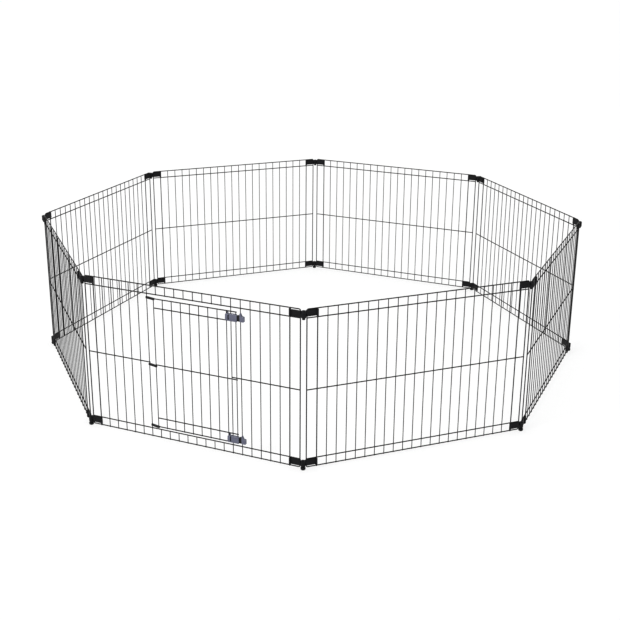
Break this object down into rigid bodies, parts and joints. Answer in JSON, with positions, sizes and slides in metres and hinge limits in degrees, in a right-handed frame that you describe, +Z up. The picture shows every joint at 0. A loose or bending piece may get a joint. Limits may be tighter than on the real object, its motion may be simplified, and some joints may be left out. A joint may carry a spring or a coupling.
{
  "type": "pet playpen",
  "caption": "Octagonal pen of hinged black wire panels with plastic corner hinges on small feet, and a wire gate with two slide latches.",
  "frame": {"origin": "middle of the octagon's floor area, on the floor (Z = 0 is the underside of the feet)", "axes": "+Z up; -Y is the outward normal of the gate panel, and +X runs along that panel from its left end to its right end seen from outside"},
  "size_m": [2.2154, 2.225, 0.621],
  "materials": {
    "black_wire": "semi-gloss powder coat",
    "corner_plastic": "moulded, fine grain",
    "latch_plastic": "moulded, satin gloss",
    "bolt_plastic": "moulded, satin",
    "screw_steel": "zinc plated"
  },
  "bodies": {
    "panel_1": {"gate_wire_panel": "black_wire", "left_corner_clips_1": "corner_plastic", "right_corner_clips_1": "corner_plastic", "foot_pin_1": "corner_plastic", "top_pin_1": "corner_plastic"},
    "panel_2": {"wire_panel_2": "black_wire", "left_corner_clips_2": "corner_plastic", "right_corner_clips_2": "corner_plastic", "foot_pin_2": "corner_plastic", "top_pin_2": "corner_plastic"},
    "panel_3": {"wire_panel_3": "black_wire", "left_corner_clips_3": "corner_plastic", "right_corner_clips_3": "corner_plastic", "foot_pin_3": "corner_plastic", "top_pin_3": "corner_plastic"},
    "panel_4": {"wire_panel_4": "black_wire", "left_corner_clips_4": "corner_plastic", "right_corner_clips_4": "corner_plastic", "foot_pin_4": "corner_plastic", "top_pin_4": "corner_plastic"},
    "panel_5": {"wire_panel_5": "black_wire", "left_corner_clips_5": "corner_plastic", "right_corner_clips_5": "corner_plastic", "foot_pin_5": "corner_plastic", "top_pin_5": "corner_plastic"},
    "panel_6": {"wire_panel_6": "black_wire", "left_corner_clips_6": "corner_plastic", "right_corner_clips_6": "corner_plastic", "foot_pin_6": "corner_plastic", "top_pin_6": "corner_plastic"},
    "panel_7": {"wire_panel_7": "black_wire", "left_corner_clips_7": "corner_plastic", "right_corner_clips_7": "corner_plastic", "foot_pin_7": "corner_plastic", "top_pin_7": "corner_plastic"},
    "panel_8": {"wire_panel_8": "black_wire", "left_corner_clips_8": "corner_plastic", "right_corner_clips_8": "corner_plastic", "foot_pin_8": "corner_plastic", "top_pin_8": "corner_plastic"},
    "door": {"door_wire_panel": "black_wire", "door_hinge_clips": "corner_plastic", "upper_latch_housing": "latch_plastic", "upper_latch_back_plate": "bolt_plastic", "lower_latch_housing": "latch_plastic", "lower_latch_back_plate": "bolt_plastic", "latch_screws": "screw_steel"},
    "upper_bolt": {"upper_latch_bolt": "bolt_plastic", "upper_latch_nose_cap": "latch_plastic"},
    "lower_bolt": {"lower_latch_bolt": "bolt_plastic", "lower_latch_nose_cap": "latch_plastic"}
  },
  "joints": [
    {"name": "corner_1_fold", "type": "hinge", "parent": "panel_1", "child": "panel_2", "pos_m": [0.455, -1.09847, 0.3165], "axis": [0, 0, 1], "range_deg": [-98, 98]},
    {"name": "corner_2_fold", "type": "hinge", "parent": "panel_2", "child": "panel_3", "pos_m": [1.09847, -0.455, 0.3165], "axis": [0, 0, 1], "range_deg": [-98, 98]},
    {"name": "corner_3_fold", "type": "hinge", "parent": "panel_3", "child": "panel_4", "pos_m": [1.09847, 0.455, 0.3165], "axis": [0, 0, 1], "range_deg": [-98, 98]},
    {"name": "corner_4_fold", "type": "hinge", "parent": "panel_4", "child": "panel_5", "pos_m": [0.455, 1.09847, 0.3165], "axis": [0, 0, 1], "range_deg": [-98, 98]},
    {"name": "corner_8_fold", "type": "hinge", "parent": "panel_1", "child": "panel_8", "pos_m": [-0.455, -1.09847, 0.3165], "axis": [0, 0, 1], "range_deg": [-98, 98]},
    {"name": "corner_7_fold", "type": "hinge", "parent": "panel_8", "child": "panel_7", "pos_m": [-1.09847, -0.455, 0.3165], "axis": [0, 0, 1], "range_deg": [-98, 98]},
    {"name": "corner_6_fold", "type": "hinge", "parent": "panel_7", "child": "panel_6", "pos_m": [-1.09847, 0.455, 0.3165], "axis": [0, 0, 1], "range_deg": [-98, 98]},
    {"name": "door_swing", "type": "hinge", "parent": "panel_1", "child": "door", "pos_m": [-0.17325, -1.10182, 0.3165], "axis": [0, 0, -1], "range_deg": [0, 150]},
    {"name": "upper_bolt_slide", "type": "slide", "parent": "door", "child": "upper_bolt", "axis": [1, 0, 0], "range_m": [0, 0.007]},
    {"name": "lower_bolt_slide", "type": "slide", "parent": "door", "child": "lower_bolt", "axis": [1, 0, 0], "range_m": [0, 0.007]}
  ],
  "couplings": [
    {"joint": "corner_2_fold", "follows": "corner_1_fold", "ratio": -1},
    {"joint": "corner_3_fold", "follows": "corner_1_fold", "ratio": 1},
    {"joint": "corner_4_fold", "follows": "corner_1_fold", "ratio": -1},
    {"joint": "corner_8_fold", "follows": "corner_1_fold", "ratio": 1},
    {"joint": "corner_7_fold", "follows": "corner_1_fold", "ratio": -1},
    {"joint": "corner_6_fold", "follows": "corner_1_fold", "ratio": 1}
  ]
}
